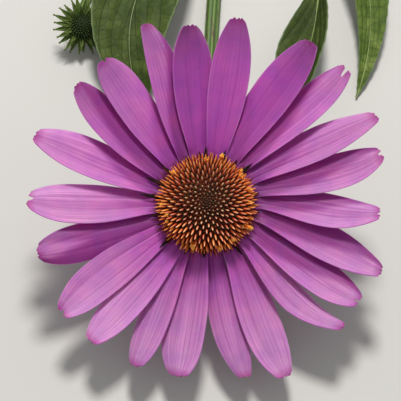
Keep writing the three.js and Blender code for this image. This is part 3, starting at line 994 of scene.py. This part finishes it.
def rodHairs(frames, radiusAt, values, hair, draw):
    spots = []
    for _ in range(values["hairs"]):
        along, angle = draw.random(), draw.uniform(0, fullTurn)
        point, ahead, side, other = frames[round(along * (len(frames) - 1))]
        out = side * cos(angle) + other * sin(angle)
        spot = point + out * (radiusAt(along) - 0.05)
        if spot.z > lowestHair:
            spots.append((spot, out + ahead * draw.uniform(-0.5, 0.2)))
    return bristles(spots, hair, values["hairSize"], draw)


def stemMaterial():
    # Stem skin: waxy green, paler on the ribs, flecked and streaked with purple
    material, add = newMaterial("stemSkin", Roughness=0.5, Specular_IOR_Level=0.4)
    crest = add("Attribute", attribute_name="crest")
    place = add("TexCoord")
    # Flecks about 1 mm wide and 8 mm long
    streaks = add("Mapping", {"Vector": place, "Scale": (900, 120, 900)})
    flecks = add("TexNoise", {"Vector": streaks, "Scale": 1.0, "Detail": 3.0})
    ribShare = add("MapRange", (crest, -1, 1))
    skin = add("ValToRGB", {"Fac": ribShare}, stops={0: "#3c5320", 0.6: "#4f6a2c", 1: "#6a823c"})
    fleckShare = add("MapRange", (flecks, 0.56, 0.66, 0, 0.75))
    flecked = add("Mix", {0: fleckShare, 6: skin, 7: "#5e3038"})
    bump = add("Bump", {"Height": flecks, "Strength": 0.2, "Distance": 0.2 * mm})
    return shaded(material, Base_Color=flecked, Normal=bump)


def pithMaterial():
    # The cut end: pale wet pith inside a thin green wall, its pores drawn coarse enough to show
    material, add = newMaterial("cutPith", Roughness=0.45)
    place = add("TexCoord")
    pores = add("TexVoronoi", {"Vector": place, "Scale": 2600.0})
    colour = add("ValToRGB", {"Fac": pores}, stops={0.1: "#b9bf8f", 0.5: "#dadcb8"})
    return shaded(material, Base_Color=colour)


def cutEnd(main, values):
    # The cut end is inset, so that the green wall stands round the pith
    activate(main)
    main.data.materials.append(pithMaterial())
    unpicked("FACE")
    max(main.data.polygons, key=lambda face: (len(face.vertices), face.center.y)).select = True
    enter("EDIT")
    bpy.ops.mesh.inset(thickness=values["cutWall"] * mm, depth=0)
    bpy.ops.mesh.inset(thickness=values["cutEdge"] * mm, depth=-values["cutDepth"] * mm)
    bpy.context.object.active_material_index = 1
    bpy.ops.object.material_slot_assign()
    enter("OBJECT")


def makeStem(values):
    draw = random.Random(53)
    top, down = (headFrame @ (upward * (values["neckTop"] - pull)) for pull in (0, values["neckPull"]))
    start = values["run"][0]
    neck = [top, down, start + values["neckArrival"], start]
    frames = framesAlong(evenPoints([neck, values["run"]], values["steps"]))
    sideFrames = framesAlong(evenPoints([branch["path"]], branch["steps"]))
    skin = stemMaterial()
    main = dressed(rod("mainStem", frames, stemRadiusAt, values), skin)
    side = dressed(rod("sideBranch", sideFrames, branchRadiusAt, branch), skin)
    cutEnd(main, values)
    hair = newHair()
    parts = [main, side]
    parts += rodHairs(frames, stemRadiusAt, values, hair, draw)
    parts += rodHairs(sideFrames, branchRadiusAt, branch, hair, draw)
    discard(hair)
    settled(joined("hairyStem", parts), "stem", "stem")


makeStem(stem)
print("stem made")

# The young head on the side branch: a green button in a star of pointed bracts. Pairs in the dome
# go from its middle to its rim.
young = {
    "seat": 3.9,
    "sides": 32,
    "base": [(1.5, -3.6), (2.6, -2.9), (3.7, -1.9), (4.0, -0.6), (3.9, 0.5), (3.4, 0.7)],
    "dome": {
        "radius": 4.4,
        "height": 3.8,
        "lift": 0.1,
        "rings": 10.3,  # as in the cone
        "core": 0.93,
        "edgeAngle": 84 * degree,
        "spines": 120,
        "crowding": 0.6,
        "length": (0.7, 1.4),
        "halfWidth": (0.2, 0.32),
        "sunk": 0.4,
        "lean": 0.2,
        "spine": [(0.8, 0), (1, 0.4), (0.6, 0.8), (0.12, 1)],
    },
    "rows": tabled(bractFields, [
        (12, 3.4, -0.9, 7.2, 2.1, 6, 0),
        (12, 3.2, -1.9, 7, 2.1, -10, 0.5),
        (11, 3.4, 0, 5.2, 1.7, 26, 0.25),
    ]),
    "thickness": 0.4,
    "hairs": 8,
    "hairSize": (0.035, 0.8),
    "skin": {"dark": "#3c4e1e", "light": "#5c7030", "fleck": "#7c8c46", "roughness": 0.7, "grain": 0.9},
    "button": {"dark": "#162010", "light": "#2a3a19", "fleck": "#4c5e2e", "roughness": 0.75, "grain": 0.6},
}


def makeYoungHead(values):
    draw = random.Random(61)
    green = greenMaterial("youngBract", **values["skin"])
    inner = greenMaterial("youngFloret", **values["button"])
    hair = newHair()
    dome = values["dome"]
    base = dressed(painted(turned("youngBase", values["sides"], values["base"]), rise=0.0), green)
    core = turned("youngCore", values["sides"], domeProfile(dome, dome["core"]))
    spine = dressed(risen(turned("youngSpine", 5, dome["spine"]), 1), inner)
    parts = [base, dressed(painted(core, rise=0.0), inner)]
    for rank, polar, turn in spiralSpots(dome):
        spot, normal = domeSpot(polar, turn, dome)
        half = mix(*dome["halfWidth"], rank)
        size = (half, half, mix(*dome["length"], rank) * draw.uniform(0.85, 1.15))
        seat = pointed(spot - normal * dome["sunk"], normal + upward * dome["lean"], size)
        parts.append(copied(spine, seat))
    parts += makeBracts(values, green, hair, draw)
    discard(hair, spine)
    piece = joined("youngHead", parts)
    before, tip = branch["path"][2:]
    axis = (tip - before).normalized()
    turn = upward.rotation_difference(axis).to_matrix().to_4x4()
    piece.data.transform(Matrix.Translation((tip + axis * values["seat"]) * mm) @ turn)
    settled(piece, "bud", "bud")


makeYoungHead(young)
print("young head made")

# Leaves: at and side say where the stalk leaves the stem, midrib gives its curve's other points,
# stalk is a share of the whole length and widest of the blade's, bank and fold are in degrees,
# wave and rib in millimetres, and tone goes from dark to light green.
leafShape = {
    "columns": 32,
    "rows": 96,
    "thickness": 0.45,
    "stalkThickness": 2.0,
    "stalkHalfWidth": 1.2,
    "leastHalfWidth": 0.4,
    "footGap": 0.05,
    "footRise": 0.9,
    "floorGap": 0.1,
    "rib": 0.9,
    "ribGroove": 0.25,
    "tooth": 0.3,
    "teeth": 27,
    "toothed": (0.06, 0.98),
    "quilt": 0.35,
    "ripple": 0.12,
    "waves": 1.7,
    "veinPairs": 4,
    "veinLean": 0.8,
}
leafFields = (
    "name", "at", "side", "width", "widest", "stalk", "bank", "fold", "wave", "rib", "tone", "midrib",
)
leaves = tabled(leafFields, [
    ("leaf_1", 0.43, -1, 31, 0.5, 0.1, 0, 10, 0.6, 0.13, 0.25,
     [(-22, 12, 22), (-49, -24, 22), (-30, -56, 0.8)]),
    ("leaf_2", 0.505, 1, 24, 0.56, 0.46, 30, 40, 0.5, 0.85, 0.1,
     [(46.5, 36, 16), (39.3, -8, 13), (19, -65, 0.9)]),
    ("leaf_3", 0.685, 1, 19, 0.45, 0.1, -12, 16, 0.25, 0.3, 0.95,
     [(30, 64, 18), (70, 14, 15), (46, -47, 0.8)]),
    ("leaf_4", 0.615, -1, 40, 0.42, 0.13, 4, 8, 1.2, 0.3, 0.4,
     [(-32, 66, 14), (-70, 40, 9), (-105, 6, 0.75)]),
    ("leaf_5", 0.795, 1, 42, 0.42, 0.13, -4, 8, 1.2, 0.3, 0.6,
     [(40, 104, 15), (78, 74, 10), (103, 28, 0.75)]),
])


def leafMaterial():
    # Leaf blade: dull olive green with a faint gloss, mottled some 7 mm a patch, with sunken veins and
    # net darkened as painted shade, painted shade along the midrib's groove, and a pale midrib and edge
    material, add = newMaterial(
        "leafBlade",
        Roughness=0.6,
        Specular_IOR_Level=0.12,
        Subsurface_Weight=0.1,
        Subsurface_Scale=1 * mm,
        Subsurface_Radius=(0.4, 1.0, 0.2),
    )
    names = ("side", "veinRun", "ribWidth", "tone")
    side, run, ribWidth, tone = (add("Attribute", attribute_name=name) for name in names)
    place = add("TexCoord")
    edge = add("Math", (side,), operation="ABSOLUTE")
    patches = add("TexNoise", {"Vector": place, "Scale": 150.0, "Detail": 5.0})
    dark, light = (
        add("ValToRGB", {"Fac": patches}, stops=dict(zip((0.3, 0.5, 0.7), codes)))
        for codes in (("#2a3612", "#354218", "#434f22"), ("#465a1e", "#586c2a", "#7c8a44"))
    )
    toned = add("Mix", {0: tone, 6: dark, 7: light})
    # Net of small veins, about 4 mm a cell
    net = add("TexVoronoi", {"Vector": place, "Scale": 250.0}, feature="DISTANCE_TO_EDGE")
    netShare = add("MapRange", (net, 0, 0.14, 1, 0))
    veinGap = add("Math", (run, 0.5), operation="PINGPONG")
    veinShare = add("MapRange", (veinGap, 0.012, 0.05, 1, 0))
    ribShare = add("Math", (edge, ribWidth), operation="LESS_THAN")
    # Painted shade along both sides of the midrib, where its groove sinks
    midribGrooveShade = add("MapRange", (edge, 0.02, 0.1, 0.6, 0))
    netWeight = add("Math", (netShare, 0.38), operation="MULTIPLY")
    veinWeight = add("Math", (veinShare, 0.42), operation="MULTIPLY")
    edgeShare = add("MapRange", (edge, 0.95, 0.99, 0, 0.7))
    colour = toned
    # The dark net and veins are painted shade where the blade sinks
    for weight, code in (
        (netWeight, "#26341a"),
        (veinWeight, "#202c14"),
        (midribGrooveShade, "#202c14"),
        (ribShare, "#84945a"),
        (edgeShare, "#74845a"),
    ):
        colour = add("Mix", {0: weight, 6: colour, 7: code})
    lows = add("Math", (veinShare, netWeight), operation="MAXIMUM")
    height = add("Math", (patches, lows), operation="SUBTRACT")
    bump = add("Bump", {"Height": height, "Strength": 0.6, "Distance": 0.4 * mm})
    return shaded(material, Base_Color=colour, Normal=bump)


def leafCurve(leaf, values):
    controls = [Vector(point) for point in leaf["midrib"]]
    foot = bezierPoint(stem["run"], leaf["at"])
    slant = abs((controls[0] - foot).normalized().y)
    wall = stemRadiusAt(1 - stem["runShare"] * (1 - leaf["at"]))
    foot.x += leaf["side"] * (wall + values["footGap"] + values["stalkHalfWidth"] * slant)
    foot.z += values["footRise"]
    return [foot, *controls]


def makeLeaf(leaf, values, material, draw):
    rows = values["rows"]
    points = evenPoints([leafCurve(leaf, values)], rows)
    piece = gridSheet(leaf["name"].replace("_", "Blade"), values["columns"], rows)
    skew = log(0.5) / log(leaf["widest"])
    fold = leaf["fold"] * degree
    phase = draw.uniform(0, 6)
    thin, thick = values["thickness"], values["stalkThickness"]
    firstTooth, lastTooth = values["toothed"]
    sides, runs, ribs, weights = [], [], [], []

    def place(flat):
        c, along = flat.x, (flat.y + 1) / 2
        i = round(along * rows)
        side = abs(c)
        b = clamp((along - leaf["stalk"]) / (1 - leaf["stalk"]))  # 0 where the blade starts, 1 at its tip
        ahead = (points[min(i + 1, rows)] - points[max(i - 1, 0)]).normalized()
        level = upward.cross(ahead).normalized()
        across = Matrix.Rotation(leaf["bank"] * degree, 3, ahead) @ level
        normal = ahead.cross(across)
        fullness = sin(pi * b**skew) ** 0.9 if 0 < b < 1 else 0
        stalkHalf = values["stalkHalfWidth"] * (1 - b)
        half = max(stalkHalf, leaf["width"] / 2 * fullness, values["leastHalfWidth"])
        run = values["veinPairs"] * (b - values["veinLean"] * side**0.85)
        quilt = cos(fullTurn * (run - 0.5))
        wave = sin(fullTurn * values["waves"] * b + (0 if c > 0 else 2.1))
        rise = half * side * sin(fold)
        rise += values["quilt"] * quilt * 4 * side * (1 - side) * fullness
        rise += leaf["wave"] * wave * side * side * fullness
        rise += values["ripple"] * sin(9 * b + 5 * c + phase) * fullness
        rise -= values["ribGroove"] * bell(c, 0.06) * (1 - b)
        spot = points[i] + across * c * half * cos(fold) + normal * rise
        if firstTooth < b < lastTooth:
            tooth = (along * values["teeth"]) % 1
            nearEdge = clamp((side - 0.8) / 0.2) ** 1.5
            reach = values["tooth"] * tooth**1.3 * nearEdge * clamp((b - firstTooth) / 0.1)
            spot += across * copysign(reach, c) + ahead * reach
        sides.append(c)
        runs.append(run)
        ribs.append((leaf["rib"] + 0.95 * (1 - smooth(b / 0.16))) / half)
        stalk = (thick - thin) * (1 - smooth(b / 0.12)) * sqrt(1 - 0.75 * c * c)
        rib = values["rib"] * (1 - b) * bell(c, 0.09)
        weights.append((thin + max(stalk, rib)) / thick)
        return spot

    reshape(piece, place)
    painted(piece, side=sides, veinRun=runs, ribWidth=ribs, tone=leaf["tone"])
    group = piece.vertex_groups.new(name="body")
    for index, weight in enumerate(weights):
        group.add([index], weight, "REPLACE")
    applied(
        piece, "SOLIDIFY", thickness=thick * mm, offset=-1, vertex_group="body", use_even_offset=False
    )
    for vertex in piece.data.vertices:
        vertex.co.z = max(vertex.co.z, values["floorGap"] * mm)
    settled(dressed(piece, material), "leaf", leaf["name"])


leafSkin = leafMaterial()
leafDraw = random.Random(71)
for leaf in leaves:
    makeLeaf(leaf, leafShape, leafSkin, leafDraw)
print("leaves made")

# Plain studio: a pale floor, a soft key from the top of the view, and an even sky. Its lengths are
# in metres.
studio = {
    "floor": "#c6c3bc",
    "floorSize": 4,
    "sky": "#eef1f6",
    "skyStrength": 0.5,
    "keyElevation": 38 * degree,
    "keyDistance": 0.9,
    "keySize": 0.2,
    "keyPower": 7.9,
}


def makeStudio(values):
    clearSelection()
    bpy.ops.mesh.primitive_plane_add(size=values["floorSize"])
    floor = named("floor")
    # Matt paper: pale, with no shine that would compete with the plant
    dressed(floor, newMaterial("palePaper", Base_Color=values["floor"], Roughness=0.9)[0])
    sky = bpy.data.worlds.new("evenSky")
    sky.use_nodes = True
    fill(sky.node_tree, sky.node_tree.nodes["Background"], (values["sky"], values["skyStrength"]))
    bpy.context.scene.world = sky
    turn = values["keyElevation"]
    toward = headTurn @ Vector((0, cos(turn), sin(turn)))
    lamp = bpy.data.lights.new("softKey", "AREA")
    lamp.shape = "DISK"
    lamp.size = values["keySize"]
    lamp.energy = values["keyPower"]
    place = bloom["centre"] * mm + toward * values["keyDistance"]
    placed("softKey", lamp, Matrix.Translation(place) @ toward.to_track_quat("Z", "Y").to_matrix().to_4x4())
    bpy.context.scene.view_settings.view_transform = "Standard"


makeStudio(studio)
print("studio made")
